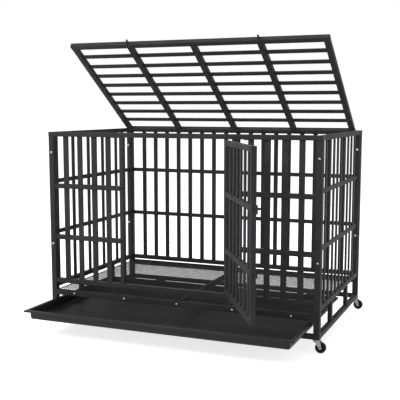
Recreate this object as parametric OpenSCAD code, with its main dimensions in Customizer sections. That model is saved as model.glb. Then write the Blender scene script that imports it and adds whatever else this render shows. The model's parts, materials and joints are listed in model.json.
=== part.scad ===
// Heavy duty dog crate on casters, with a top lid, a front door and a slide-out tray.
// Units are millimetres. +Z is up, the front faces -Y, and the origin lies on the ground
// under the middle of the frame. The lid and the door stand open and the tray is drawn out.

/* [Frame] */
// Outside width of the frame
frame_w = 1220; // [1060:10:1400]
// Outside depth of the frame
frame_d = 768; // [660:6:900]
// Height from the underside of the posts to the top of the top rails
frame_h = 798; // [740:2:920]
// Side of the square corner posts and base rails
post_size = 25; // [22:1:30]
// Side of the square rails and door jambs
rail_size = 20; // [18:1:22]
// Wall of every tube
tube_wall = 1.5; // [1:0.1:2]
// Outside corner radius of every tube
tube_edge_r = 2; // [1:0.1:2.5]

/* [Levels above the underside of the posts] */
// Underside of the floor rails
floor_rail_z = 75; // [72:1:84]
// Height of the floor rails
floor_rail_h = 22; // [20:1:28]
// Underside of the side and back bottom rails
side_rail_z = 108; // [107:1:120]
// Underside of the front sill rail
sill_z = 131; // [126:1:150]
// Height of the lower front and door cross rails as a share of the frame's height
cross_low_share = 0.4085; // [0.38:0.0005:0.44]
// Height of the upper front and door cross rails as a share of the frame's height
cross_high_share = 0.6917; // [0.66:0.0005:0.72]
// Rise of the flat bands of the sides and back above the front cross rails
band_rise = 20; // [0:1:30]

/* [Bars] */
// Width of the bars beside the door
front_bar_w = 24; // [18:0.5:26]
// Thickness of the bars beside the door
front_bar_t = 5; // [3:0.5:10]
// Width of the door's bars
door_bar_w = 20; // [14:0.5:24]
// Thickness of the door's bars
door_bar_t = 7; // [3:0.5:8]
// Width of the flat bars of the sides, back and lid
flat_bar_w = 20; // [14:0.5:22]
// Thickness of the flat bars of the sides and back
flat_bar_t = 6; // [3:0.5:8]
// Thickness of the flat tubes that bar the lid
lid_bar_t = 8; // [7:0.5:12]
// Height of the flat bands that cross the side and back bars
band_h = 18; // [14:1:22]
// Thickness of the flat bands
band_t = 8; // [5:0.5:10]
// Bars on each side of the door
front_bars = 4; // [3:1:5]
// Bars in the back panel
back_bars = 17; // [13:2:17]
// Bars in each side panel
side_bars = 9; // [7:2:9]
// Distance from a post to the middle of the nearest side bar
side_bar_inset = 87; // [60:1:100]
// Bars in the door
door_bars = 6; // [5:1:7]
// Bars in the lid
lid_bars_n = 8; // [7:1:9]

/* [Side base] */
// Size of the square tubes of the base
base_tube = 20; // [18:1:25]
// Width of the short base struts
strut_w = 24; // [16:1:30]
// Thickness of the short base struts
strut_t = 16; // [10:1:18]
// Distance from a post to the middle of the nearer strut
strut_inset = 208.5; // [180:0.5:240]
// Depth of the end stiles that bolt the side panels to the posts
stile_t = 16; // [12:1:25]

/* [Corner bolts] */
// Diameter of the corner bolts and floor screws
bolt_d = 6; // [5:0.5:6]
// Diameter of a bolt head
bolt_head_d = 9.5; // [8.5:0.5:14]
// Height of a bolt head
bolt_head_h = 3; // [2:0.5:4]
// Width of a nut across its corners
nut_d = 11.5; // [10:0.5:13]
// Height of a nut
nut_h = 5; // [4:0.5:6]
// Distance of the lower corner bolts below the lower cross rails
bolt_low_drop = 21; // [10:1:40]
// Distance of the upper corner bolts below the top of the frame
bolt_high_drop = 89; // [60:1:110]
// Clearance around a bolt in its hole
bolt_clear = 0.2; // [0.1:0.05:0.4]
// Clearance of a nut on its bolt
nut_clear = 0.1; // [0.05:0.05:0.2]

/* [Floor] */
// Thickness of the floor mesh
mesh_t = 3; // [2:0.5:4]
// Width of the mesh strands
strand_w = 3.5; // [2.5:0.5:5]
// Gaps in the mesh from side to side
mesh_gaps_x = 22; // [18:2:22]
// Gaps in the mesh from front to back
mesh_gaps_y = 12; // [10:2:12]
// Width of the rim round the mesh
mesh_rim_w = 26; // [20:1:34]
// Depth of the flange that hangs behind each floor rail
mesh_flange_h = 21; // [18:1:21]
// Clearance between the floor mesh and the posts and rails
mesh_clear = 0.5; // [0.3:0.1:1]
// Screws in each floor rail
floor_screws_n = 5; // [3:1:7]
// Distance from a post to the outermost floor screw
floor_screw_inset = 90; // [60:1:120]
// Width of the beam under the middle of the mesh
beam_w = 20; // [16:1:26]
// Height of the beam under the middle of the mesh
beam_h = 20; // [14:1:24]

/* [Door] */
// Clear width between the door jambs
door_opening_w = 486; // [440:2:500]
// Gap all round the closed door
door_gap = 4; // [3:0.5:5]
// How far the door stands open
door_open = 121.5; // [60:0.5:160]
// Outside radius of the door hinge knuckles
door_knuckle_r = 6; // [5:0.5:7]
// Diameter of the door hinge pins
door_pin_d = 5; // [4:0.5:6]
// Length of one door hinge
door_hinge_l = 60; // [45:1:80]
// Thickness of the door hinge leaves
door_leaf_t = 3; // [2:0.5:4]
// Distance from the door's ends to the middle of its hinges
door_hinge_inset = 75; // [60:1:110]

/* [Slide bolts] */
// Diameter of the slide bolt rods
rod_d = 8; // [6:0.5:10]
// Diameter of the slide bolt handles
handle_d = 9; // [6:0.5:10]
// Running clearance of a rod in its guides
rod_clear = 0.1; // [0.05:0.01:0.1]
// Clearance of a rod in the hole that it locks into
lock_clear = 0.6; // [0.4:0.1:1]
// Clearance of a handle in its slot
slot_clear = 0.5; // [0.3:0.1:0.8]
// Length of the door slide bolts
door_rod_l = 110; // [90:1:140]
// Depth of a drawn-back door bolt inside the stile's edge
door_rod_inset = 2; // [1:0.5:4]
// Travel of the door slide bolts
door_rod_travel = 21; // [16:1:22]
// Distance from the tip of a door bolt to its handle
door_handle_at = 62; // [58:1:80]
// Width of the lock tab on a door bolt's handle
lock_tab_w = 14; // [10:1:18]
// Thickness of the lock tab
lock_tab_t = 3; // [2:0.5:4]
// Gap between the lock tab and the door
lock_tab_out = 15; // [6:1:18]
// Drop of the lock tab below the rod
lock_tab_drop = 28; // [20:1:34]
// Drop of the knob below the rod
door_knob_drop = 9; // [0:1:14]
// Length of the knob in front of the lock tab
door_knob_l = 8; // [4:1:12]
// Length of the lid slide bolts
lid_rod_l = 127; // [110:1:150]
// How far a lid bolt stands out of the open lid
lid_rod_out = 20; // [8:1:21]
// Travel of a lid bolt from rest to its lock
lid_rod_lock = 15; // [12:1:18]
// Travel of a lid bolt from rest to fully drawn back
lid_rod_back = 15; // [10:1:20]
// Distance from the tip of a lid bolt to its handle
lid_handle_at = 69; // [67:1:80]
// Height of a lid bolt's handle above the lid
lid_handle_up = 24; // [14:1:30]

/* [Lid] */
// Width of the lid's tubes
lid_tube_w = 25; // [22:1:30]
// Gap between the lid's ends and the side rails
lid_side_gap = 2; // [1.5:0.5:4]
// Gap between the lid's front edge and the front rail
lid_front_gap = 23; // [20:1:28]
// Distance from the back rail to the lid's back edge
lid_back_gap = 30; // [26:1:40]
// Width of the lid's back tube
lid_back_w = 15; // [12:1:25]
// Extra width of the rearmost gap between the lid's bars
lid_gap_extra = 12.5; // [0:0.5:20]
// Place of the outer dividers as a share of the lid's half width
divider_share = 0.507; // [0.4:0.001:0.55]
// How far the lid stands open
lid_open = 35; // [10:1:60]
// Distance of the lid's pivot below the top of the frame
pivot_drop = 3; // [0:0.5:5]
// Outside radius of the lid's hinge eyes
lid_eye_r = 7; // [6:0.5:8]
// Gap between a hinge eye and the lid's back tube
eye_clear = 1; // [0.5:0.1:1.5]
// Thickness of the lid's hinge lugs
strap_t = 6; // [5:0.5:8]
// Thickness of each hinge cheek
cheek_t = 4; // [3:0.5:6]
// Height of the weld of a cheek or a lug on its rail
cheek_seat = 12; // [9:0.5:14]
// Diameter of the lid hinge pins
lid_pin_d = 6; // [5:0.5:7]
// Side gap between a lug and its cheeks
cheek_gap = 0.3; // [0.2:0.1:0.5]
// Running clearance of the hinge pins
pin_clear = 0.06; // [0.03:0.01:0.1]
// Clearance of a hinge pin in the part that carries it
pin_seat = 0.05; // [0.02:0.01:0.1]
// Width of the tabs that the closed lid rests on
tab_w = 24; // [16:1:40]
// Thickness of the lid rest tabs
tab_t = 3; // [2:0.5:4]
// Gap between the closed lid and its rest tabs
tab_gap = 0.4; // [0.2:0.1:1]

/* [Tray] */
// Gap between the tray's flange and the frame on each side
tray_side_gap = 5; // [3:0.5:10]
// Gap between the pushed-in tray and the back base rail
tray_back_gap = 8; // [4:1:100]
// Depth of the tray
tray_h = 40; // [30:1:44]
// Width of the tray's flange
tray_flange = 16; // [14:1:34]
// Wall of the tray
tray_t = 2; // [1.5:0.1:3]
// Corner radius of the tray
tray_corner_r = 10; // [6:1:30]
// Clearance between the tray and what it slides on
tray_clear = 0.3; // [0.2:0.1:0.6]
// How far the tray is drawn out
tray_out = 263; // [0:1:400]
// Width of the tray runners
runner_w = 20; // [16:1:26]
// Height of the tray runners
runner_h = 20; // [14:1:24]
// Rise of the tray runners above the base rails
runner_rise = 5; // [0:1:8]
// Place of the tray runners as a share of the tray's half width
runner_share = 0.7; // [0.5:0.05:0.85]

/* [Casters] */
// Height from the ground to the underside of the posts
caster_h = 53; // [50:1:58]
// Diameter of the caster wheels
wheel_d = 44; // [38:1:45]
// Width of the caster wheels
wheel_w = 18; // [14:1:22]
// Edge radius of the caster wheels
wheel_edge_r = 4; // [2:0.5:5]
// Width of a wheel's hub
hub_w = 19; // [18:0.5:22]
// Diameter of a wheel's hub
hub_d = 15; // [12:1:20]
// Depth of the dish in a wheel's sides
dish_depth = 3; // [1:0.5:5]
// Width of the tread beside the dish
tread_t = 6; // [4:0.5:8]
// Distance from the swivel axis to the wheel's axle
trail = 16; // [12:1:20]
// Diameter of the axles
axle_d = 6; // [5:0.5:7]
// Running clearance of a wheel on its axle
axle_clear = 0.08; // [0.03:0.01:0.1]
// Gap between a wheel's hub and the fork
fork_gap = 0.5; // [0.3:0.1:1]
// Sheet thickness of the forks
fork_t = 2.5; // [2:0.1:3]
// Radius of the fork's eyes round the axle
fork_eye_r = 6; // [5:0.5:9]
// How far the fork's legs reach behind the swivel axis
fork_back = 8; // [4:0.5:10]
// Diameter of the swivel heads
swivel_d = 30; // [26:1:34]
// Height of the swivel heads
swivel_h = 4; // [3:0.5:5]
// Gap between a swivel head and its fork
swivel_gap = 0.3; // [0.2:0.1:0.5]
// Diameter of the king pins
king_d = 8; // [6:0.5:10]
// Diameter of a king pin's lower head
king_head_d = 14; // [12:0.5:16]
// Height of a king pin's lower head
king_head_h = 2; // [1.5:0.5:3]
// Diameter of the threaded stems
stem_d = 10; // [8:0.5:12]
// Length of the threaded stems
stem_l = 30; // [20:1:36]
// Height of the threaded inserts in the posts
insert_h = 24; // [16:1:28]
// Clearance of an insert in its post, and of a stem in its insert
insert_clear = 0.1; // [0.05:0.05:0.2]

/* [Hidden] */
$fn = 48;
// Extra length of a cutting tool beyond the face that it cuts
cut = 1;
// Colours of the finishes
coat = [0.17, 0.18, 0.19];
sheet = [0.14, 0.15, 0.16];
zinc = [0.74, 0.75, 0.76];
tyre = [0.07, 0.07, 0.08];

half_w = frame_w / 2;
half_d = frame_d / 2;
base_z = caster_h;
base_top_z = base_z + base_tube;
top_z = base_z + frame_h;
ring_z = top_z - rail_size;
floor_z = base_z + floor_rail_z;
floor_top_z = floor_z + floor_rail_h;
side_z = base_z + side_rail_z;
side_top_z = side_z + rail_size;
front_z = base_z + sill_z;
front_top_z = front_z + rail_size;
cross_zs = [base_z + cross_low_share * frame_h, base_z + cross_high_share * frame_h];
band_zs = [for (z = cross_zs) z + band_rise];
bolt_zs = [cross_zs[0] - bolt_low_drop, top_z - bolt_high_drop];
post_in_w = half_w - post_size;
post_in_d = half_d - post_size;
back_pitch = 2 * post_in_w / (back_bars + 1);
side_pitch = 2 * (post_in_d - side_bar_inset) / (side_bars - 1);
floor_screw_pitch = 2 * (post_in_w - floor_screw_inset) / (floor_screws_n - 1);
post_mid_x = half_w - post_size / 2;
post_mid_y = half_d - post_size / 2;
front_in_y = rail_size - half_d;

// Door, drawn closed in the front panel and turned about its pivot
jamb_x = door_opening_w / 2;
door_half_w = jamb_x - door_gap;
door_z = front_top_z + door_gap;
door_top_z = ring_z - door_gap;
door_pivot = [jamb_x - door_gap / 2, -half_d - door_knuckle_r];
knuckle_l = door_hinge_l / 3;
knuckle_gap = cheek_gap;
leaf_back = door_knuckle_r + knuckle_gap * 3;
door_hinge_zs = [door_z + door_hinge_inset, door_top_z - door_hinge_inset];
door_rod_tip = door_rod_inset - door_half_w;
door_rod_y = rail_size / 2 - half_d;

// Lid, drawn closed and turned about its pivot
lid_half_w = half_w - rail_size - lid_side_gap;
lid_front_y = front_in_y + lid_front_gap;
lid_back_y = half_d - rail_size - lid_back_gap;
lid_pivot_y = lid_back_y + lid_eye_r + eye_clear;
lid_pivot_z = top_z - pivot_drop;
lid_in_y0 = lid_front_y + lid_tube_w;
lid_in_y1 = lid_back_y - lid_back_w;
divider_pitch = lid_half_w * divider_share;
divider_xs = [-divider_pitch, 0, divider_pitch];
lid_rod_xs = [-divider_pitch, divider_pitch];
lid_rod_z = ring_z + rail_size / 2;
lid_rod_tip = lid_front_y - lid_rod_out;

// Tray and runners
runner_top_z = base_top_z + runner_rise;
tray_z = runner_top_z + tray_clear;
tray_y = -half_d - tray_out;
tray_w = 2 * (post_in_w - tray_side_gap);
tray_d = half_d + post_in_d - tray_back_gap;
tray_body_half_w = tray_w / 2 - tray_flange;
runner_x = tray_body_half_w * runner_share;

// Casters
wheel_r = wheel_d / 2;
crown_z = base_z - swivel_h - swivel_gap - fork_t;
fork_in = hub_w / 2 + fork_gap;

// Shared shapes

// Box between two opposite corners
module block(low, high) {
    translate(low)
        cube(high - low);
}

// Square or oblong tube between two opposite corners, open along axis 0, 1 or 2
module tube(low, high, axis) {
    size = high - low;
    sides = [for (i = [0 : 2]) if (i != axis) size[i]];
    turn = [[90, 0, 90], [90, 0, 0], [0, 0, 0]];
    translate((low + high) / 2)
        rotate(turn[axis])
            linear_extrude(size[axis], center = true)
                difference() {
                    round_rect(sides[0], sides[1], tube_edge_r);
                    square([sides[0] - 2 * tube_wall, sides[1] - 2 * tube_wall], center = true);
                }
}

// Rod along X, Y or Z from a point
module rod_x(at, d, l) {
    translate(at)
        rotate([0, 90, 0])
            cylinder(d = d, h = l);
}

module rod_y(at, d, l) {
    translate(at)
        rotate([-90, 0, 0])
            cylinder(d = d, h = l);
}

module rod_z(at, d, l) {
    translate(at)
        cylinder(d = d, h = l);
}

// Plan outline with round corners
module round_rect(w, d, r) {
    square([w - 2 * r, d], center = true);
    square([w, d - 2 * r], center = true);
    for (sx = [-1, 1], sy = [-1, 1])
        translate([sx * (w / 2 - r), sy * (d / 2 - r)])
            circle(r);
}

// Turns the closed lid to where it stands
module lid_pose() {
    translate([0, lid_pivot_y, lid_pivot_z])
        rotate([-lid_open, 0, 0])
            translate([0, -lid_pivot_y, -lid_pivot_z])
                children();
}

// Turns the closed door to where it stands
module door_pose() {
    translate([door_pivot[0], door_pivot[1], 0])
        rotate([0, 0, door_open])
            translate([-door_pivot[0], -door_pivot[1], 0])
                children();
}

// Frame

// Corner post; sx and sy name the corner
module post(sx, sy) {
    x0 = sx < 0 ? -half_w : post_in_w;
    y0 = sy < 0 ? -half_d : post_in_d;
    color(coat)
        difference() {
            tube([x0, y0, base_z], [x0 + post_size, y0 + post_size, ring_z], 2);
            for (z = bolt_zs)
                rod_y([x0 + post_size / 2, y0 - cut, z], bolt_d + 2 * bolt_clear, post_size + 2 * cut);
        }
}

module front_top_rail() {
    color(coat)
        difference() {
            tube([-half_w, -half_d, ring_z], [half_w, front_in_y, top_z], 0);
            for (x = lid_rod_xs)
                rod_y([x, front_in_y - tube_wall - cut, lid_rod_z], rod_d + lock_clear, tube_wall + 2 * cut);
        }
}

// Angles on the back of the front top rail that the closed lid rests on
module lid_rest_tabs() {
    leg_h = (rail_size - rod_d) / 2 - 2 * lock_clear;
    shelf_z = ring_z - tab_gap - tab_t;
    color(coat)
        for (x = lid_rod_xs) {
            block([x - tab_w / 2, front_in_y, shelf_z], [x + tab_w / 2, lid_in_y0, shelf_z + tab_t]);
            block([x - tab_w / 2, front_in_y, shelf_z], [x + tab_w / 2, front_in_y + tab_t, ring_z + leg_h]);
        }
}

module back_top_rail() {
    color(coat)
        tube([-half_w, half_d - rail_size, ring_z], [half_w, half_d, top_z], 0);
}

module side_top_rail(sx) {
    x0 = sx < 0 ? -half_w : half_w - rail_size;
    color(coat)
        tube([x0, front_in_y, ring_z], [x0 + rail_size, -front_in_y, top_z], 1);
}

// Push-in plugs in the open ends of the front and back top rails
module top_rail_plugs() {
    plug = rail_size - 2 * tube_wall - 2 * insert_clear;
    color(tyre)
        for (sx = [-1, 1], sy = [-1, 1])
            translate([sx * (half_w - plug / 2), sy * (half_d - rail_size / 2), ring_z + rail_size / 2])
                cube(plug, center = true);
}

module front_sill_rail() {
    color(coat)
        tube([-post_in_w, -half_d, front_z], [post_in_w, front_in_y, front_top_z], 0);
}

// Rail under the front or back edge of the floor, drilled for its screws
module floor_rail(sy) {
    y0 = sy < 0 ? -half_d : half_d - rail_size;
    color(coat)
        difference() {
            tube([-post_in_w, y0, floor_z], [post_in_w, y0 + rail_size, floor_top_z], 0);
            floor_screw_places()
                rod_y([0, y0 - cut, 0], bolt_d + 2 * bolt_clear, rail_size + 2 * cut);
        }
}

module floor_screw_places() {
    for (i = [0 : floor_screws_n - 1])
        translate([(i - (floor_screws_n - 1) / 2) * floor_screw_pitch, 0, floor_z + floor_rail_h / 2])
            children();
}

module cross_base_rail(sy) {
    y0 = sy < 0 ? -half_d : half_d - base_tube;
    color(coat)
        tube([-post_in_w, y0, base_z], [post_in_w, y0 + base_tube, base_top_z], 0);
}

module side_base_rail(sx) {
    x0 = sx < 0 ? -half_w : half_w - base_tube;
    color(coat)
        tube([x0, -post_in_d, base_z], [x0 + base_tube, post_in_d, base_top_z], 1);
}

// Door jamb; the one on the latch side takes the door bolts
module door_jamb(sx) {
    x0 = sx < 0 ? -jamb_x - rail_size : jamb_x;
    color(coat)
        difference() {
            tube([x0, -half_d, front_top_z], [x0 + rail_size, front_in_y, ring_z], 2);
            if (sx < 0)
                for (z = cross_zs) {
                    rod_x([-jamb_x - tube_wall - cut, door_rod_y, z + rail_size / 2],
                        rod_d + lock_clear, tube_wall + 2 * cut);
                    rod_y([x0 + rail_size / 2, -half_d - cut, z + rail_size / 2],
                        rod_d, tube_wall + 2 * cut);
                }
        }
}

// Upright bars between the cross rails of the front panel or the door, evenly spaced
module front_bars_between(x0, x1, n, bar_w, bar_t, z_low, z_high) {
    gap = (x1 - x0 - n * bar_w) / (n + 1);
    y0 = door_rod_y - bar_t / 2;
    lows = [z_low, cross_zs[0] + rail_size, cross_zs[1] + rail_size];
    highs = [cross_zs[0], cross_zs[1], z_high];
    for (i = [0 : n - 1], k = [0 : len(lows) - 1]) {
        x = x0 + gap + i * (bar_w + gap);
        block([x, y0, lows[k]], [x + bar_w, y0 + bar_t, highs[k]]);
    }
}

// Bars and cross rails beside the door
module front_grille(sx) {
    x0 = sx < 0 ? -post_in_w : jamb_x + rail_size;
    x1 = sx < 0 ? -jamb_x - rail_size : post_in_w;
    color(coat) {
        for (z = cross_zs)
            tube([x0, -half_d, z], [x1, front_in_y, z + rail_size], 0);
        front_bars_between(x0, x1, front_bars, front_bar_w, front_bar_t, front_top_z, ring_z);
    }
}

module back_bottom_rail() {
    color(coat)
        tube([-post_in_w, half_d - rail_size, side_z], [post_in_w, half_d, side_top_z], 0);
}

module back_grille() {
    y = half_d - rail_size / 2;
    color(coat) {
        for (i = [0 : back_bars - 1]) {
            x = (i - (back_bars - 1) / 2) * back_pitch;
            block(
                [x - flat_bar_w / 2, y - flat_bar_t / 2, side_top_z],
                [x + flat_bar_w / 2, y + flat_bar_t / 2, ring_z]
            );
        }
        for (z = band_zs)
            block([-post_in_w, y - band_t / 2, z], [post_in_w, y + band_t / 2, z + band_h]);
    }
}

module side_bottom_rail(sx) {
    x0 = sx * post_mid_x - rail_size / 2;
    color(coat)
        tube([x0, -post_in_d, side_z], [x0 + rail_size, post_in_d, side_top_z], 1);
}

// Side panel: flat bars, two bands, and the end stiles that bolt to the posts
module side_grille(sx) {
    x = sx * post_mid_x;
    stile_y = post_in_d - stile_t;
    color(coat) {
        for (i = [0 : side_bars - 1]) {
            y = (i - (side_bars - 1) / 2) * side_pitch;
            block(
                [x - flat_bar_t / 2, y - flat_bar_w / 2, side_top_z],
                [x + flat_bar_t / 2, y + flat_bar_w / 2, ring_z]
            );
        }
        for (z = band_zs)
            block([x - band_t / 2, -stile_y, z], [x + band_t / 2, stile_y, z + band_h]);
        for (y0 = [-post_in_d, stile_y])
            difference() {
                tube([x - rail_size / 2, y0, side_top_z], [x + rail_size / 2, y0 + stile_t, ring_z], 2);
                for (z = bolt_zs)
                    rod_y([x, y0 - cut, z], bolt_d + 2 * bolt_clear, stile_t + 2 * cut);
            }
    }
}

module base_struts() {
    color(coat)
        for (sx = [-1, 1], sy = [-1, 1])
            translate([sx * post_mid_x, sy * (post_in_d - strut_inset), (base_top_z + side_z) / 2])
                cube([strut_t, strut_w, side_z - base_top_z], center = true);
}

// Mesh floor: a rim, strands both ways, a beam under the middle and flanges behind the floor rails
module floor_mesh() {
    w = 2 * (post_in_w - mesh_clear);
    d = frame_d - 2 * mesh_clear;
    field_w = w - 2 * mesh_rim_w;
    field_d = d - 2 * mesh_rim_w;
    gap_w = (field_w - (mesh_gaps_x - 1) * strand_w) / mesh_gaps_x;
    gap_d = (field_d - (mesh_gaps_y - 1) * strand_w) / mesh_gaps_y;
    flange_y = half_d - rail_size - mesh_clear - mesh_t;
    beam_y = flange_y - nut_h - mesh_clear;
    color(coat) {
        translate([0, 0, floor_top_z])
            linear_extrude(mesh_t)
                difference() {
                    square([w, d], center = true);
                    for (i = [0 : mesh_gaps_x - 1], k = [0 : mesh_gaps_y - 1])
                        translate([
                            -field_w / 2 + i * (gap_w + strand_w),
                            -field_d / 2 + k * (gap_d + strand_w)
                        ])
                            square([gap_w, gap_d]);
                }
        block(
            [-beam_w / 2, -beam_y, floor_top_z - beam_h],
            [beam_w / 2, beam_y, floor_top_z]
        );
        difference() {
            for (sy = [-1, 1])
                translate([0, sy * (flange_y + mesh_t / 2), floor_top_z - mesh_flange_h / 2])
                    cube([w, mesh_t, mesh_flange_h], center = true);
            floor_screw_places()
                rod_y([0, -half_d, 0], bolt_d + 2 * bolt_clear, frame_d);
        }
    }
}

// Screws that hold the floor's flanges against the floor rails, with their nuts
module floor_screws() {
    grip = rail_size + mesh_clear + mesh_t;
    color(zinc)
        floor_screw_places()
            for (turn = [0, 180])
                rotate([0, 0, turn])
                    translate([0, -half_d, 0])
                        bolt_and_nut(grip);
}

// Domed bolt along +Y from the face that its head seats on, with a nut past the grip
module bolt_and_nut(grip) {
    rotate([-90, 0, 0]) {
        cylinder(d = bolt_d, h = grip + nut_h);
        rotate([180, 0, 0])
            bolt_head();
        translate([0, 0, grip])
            difference() {
                cylinder(d = nut_d, h = nut_h, $fn = 6);
                translate([0, 0, -cut])
                    cylinder(d = bolt_d + 2 * nut_clear, h = nut_h + 2 * cut);
            }
    }
}

// Domed head, seated on Z = 0
module bolt_head() {
    dome_r = (pow(bolt_head_d / 2, 2) + pow(bolt_head_h, 2)) / (2 * bolt_head_h);
    intersection() {
        translate([0, 0, bolt_head_h - dome_r])
            sphere(r = dome_r);
        cylinder(d = bolt_head_d, h = bolt_head_h);
    }
}

// Bolts that join the side panels to the posts, heads outside
module corner_bolts() {
    color(zinc)
        for (sx = [-1, 1], z = bolt_zs, turn = [0, 180])
            rotate([0, 0, turn])
                translate([sx * post_mid_x, -half_d, z])
                    bolt_and_nut(post_size + stile_t);
}

// Tubes between the front and back base rails that the tray slides on
module tray_runners() {
    color(coat)
        for (x = [-runner_x, runner_x])
            tube(
                [x - runner_w / 2, base_tube - half_d, runner_top_z - runner_h],
                [x + runner_w / 2, half_d - base_tube, runner_top_z],
                1
            );
}

// Lid hinges

// Eye round the lid's pivot with a weld block that reaches to the rail at y1
module lid_eye(x0, w, y1, pin_gap) {
    difference() {
        union() {
            rod_x([x0, lid_pivot_y, lid_pivot_z], 2 * lid_eye_r, w);
            block(
                [x0, min(lid_pivot_y, y1), lid_pivot_z - cheek_seat],
                [x0 + w, max(lid_pivot_y, y1), lid_pivot_z]
            );
        }
        rod_x([x0 - cut, lid_pivot_y, lid_pivot_z], lid_pin_d + 2 * pin_gap, w + 2 * cut);
    }
}

// Cheeks welded to the front of the back top rail, two for each lug
module lid_hinge_brackets() {
    color(coat)
        for (x = divider_xs, sx = [-1, 1])
            lid_eye(
                x + sx * (strap_t / 2 + cheek_gap + cheek_t / 2) - cheek_t / 2,
                cheek_t, half_d - rail_size, pin_seat
            );
}

// Lugs welded to the back of the lid's back tube
module lid_hinge_straps() {
    color(coat)
        lid_pose()
            for (x = divider_xs)
                lid_eye(x - strap_t / 2, strap_t, lid_back_y, pin_clear);
}

// Pins of the lid hinges and the door hinges
module hinge_pins() {
    lid_pin_l = strap_t + 2 * (cheek_gap + cheek_t);
    head_l = cheek_t / 2;
    color(zinc) {
        for (x = divider_xs) {
            rod_x([x - lid_pin_l / 2 - head_l, lid_pivot_y, lid_pivot_z], lid_pin_d, lid_pin_l + 2 * head_l);
            for (end = [-lid_pin_l / 2 - head_l, lid_pin_l / 2])
                rod_x([x + end, lid_pivot_y, lid_pivot_z], lid_pin_d + head_l, head_l);
        }
        for (z = door_hinge_zs) {
            at = [door_pivot[0], door_pivot[1]];
            rod_z([at[0], at[1], z - door_hinge_l / 2], door_pin_d, door_hinge_l);
            rod_z([at[0], at[1], z + door_hinge_l / 2], door_pin_d + door_leaf_t, door_leaf_t);
        }
    }
}

// Door hinges

// Knuckle with its tongue of leaf, from z0 upwards; side 1 lies on the jamb and -1 on the door
module knuckle(side, z0, l, clear) {
    difference() {
        union() {
            rod_z([door_pivot[0], door_pivot[1], z0], 2 * door_knuckle_r, l);
            block(
                [min(0, side * leaf_back) + door_pivot[0], -half_d - door_leaf_t, z0],
                [max(0, side * leaf_back) + door_pivot[0], -half_d, z0 + l]
            );
        }
        rod_z([door_pivot[0], door_pivot[1], z0 - cut], door_pin_d + 2 * clear, l + 2 * cut);
    }
}

// Flat leaf beside the knuckles, on the face of the jamb or the door stile
module leaf(side, z) {
    near = side * leaf_back;
    far = side * (door_gap / 2 + rail_size);
    block(
        [min(near, far) + door_pivot[0], -half_d - door_leaf_t, z - door_hinge_l / 2],
        [max(near, far) + door_pivot[0], -half_d, z + door_hinge_l / 2]
    );
}

module door_hinge_brackets() {
    color(coat)
        for (z = door_hinge_zs) {
            leaf(1, z);
            knuckle(1, z - door_hinge_l / 2, knuckle_l - knuckle_gap, pin_seat);
            knuckle(1, z + knuckle_l / 2 + knuckle_gap, knuckle_l - knuckle_gap, pin_seat);
        }
}

module door_hinge_leaves() {
    color(coat)
        door_pose()
            for (z = door_hinge_zs) {
                leaf(-1, z);
                knuckle(-1, z - knuckle_l / 2, knuckle_l, pin_clear);
            }
}

// Lid

module lid_front_rail() {
    color(coat)
        lid_pose()
            difference() {
                tube([-lid_half_w, lid_front_y, ring_z], [lid_half_w, lid_in_y0, top_z], 0);
                for (x = lid_rod_xs)
                    rod_y([x, lid_front_y - cut, lid_rod_z], rod_d + 2 * rod_clear, lid_tube_w + 2 * cut);
            }
}

module lid_back_rail() {
    color(coat)
        lid_pose()
            tube([-lid_half_w, lid_in_y1, ring_z], [lid_half_w, lid_back_y, top_z], 0);
}

module lid_end_rails() {
    color(coat)
        lid_pose()
            for (x0 = [-lid_half_w, lid_half_w - lid_tube_w])
                tube([x0, lid_in_y0, ring_z], [x0 + lid_tube_w, lid_in_y1, top_z], 1);
}

// Dividers; the outer two hold the slide bolts and are slotted for their handles
module lid_dividers() {
    handle_y = lid_rod_tip + lid_handle_at;
    slot_w = handle_d + 2 * slot_clear;
    color(coat)
        lid_pose()
            difference() {
                for (x = divider_xs)
                    tube([x - lid_tube_w / 2, lid_in_y0, ring_z], [x + lid_tube_w / 2, lid_in_y1, top_z], 1);
                for (x = lid_rod_xs)
                    block(
                        [x - slot_w / 2, handle_y - lid_rod_lock - slot_w / 2, top_z - tube_wall - cut],
                        [x + slot_w / 2, handle_y + lid_rod_back + slot_w / 2, top_z + cut]
                    );
            }
}

// Flat tubes between the lid's end rails and dividers
module lid_bars() {
    stops = [-lid_half_w + lid_tube_w / 2, divider_xs[0], divider_xs[1], divider_xs[2],
        lid_half_w - lid_tube_w / 2];
    gap = (lid_in_y1 - lid_in_y0 - lid_gap_extra - lid_bars_n * flat_bar_w) / (lid_bars_n + 1);
    color(coat)
        lid_pose()
            for (i = [0 : lid_bars_n - 1], k = [0 : len(stops) - 2]) {
                y = lid_in_y0 + gap + i * (flat_bar_w + gap);
                tube(
                    [stops[k] + lid_tube_w / 2, y, lid_rod_z - lid_bar_t / 2],
                    [stops[k + 1] - lid_tube_w / 2, y + flat_bar_w, lid_rod_z + lid_bar_t / 2],
                    0
                );
            }
}

// Slide bolt of the lid: a rod inside its divider, with an upright handle
module lid_bolt(x) {
    handle_y = lid_rod_tip + lid_handle_at;
    knob_z = top_z + lid_handle_up - handle_d / 2;
    color(coat)
        lid_pose() {
            rod_y([x, lid_rod_tip, lid_rod_z], rod_d, lid_rod_l);
            rod_z([x, handle_y, lid_rod_z], handle_d, knob_z - lid_rod_z);
            translate([x, handle_y, knob_z])
                sphere(d = handle_d);
        }
}

// Door

module door_stile(sx) {
    x0 = sx < 0 ? -door_half_w : door_half_w - rail_size;
    color(coat)
        door_pose()
            difference() {
                tube([x0, -half_d, door_z], [x0 + rail_size, front_in_y, door_top_z], 2);
                if (sx < 0)
                    for (z = cross_zs)
                        rod_x([x0 - cut, door_rod_y, z + rail_size / 2],
                            rod_d + 2 * rod_clear, rail_size + 2 * cut);
            }
}

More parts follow.
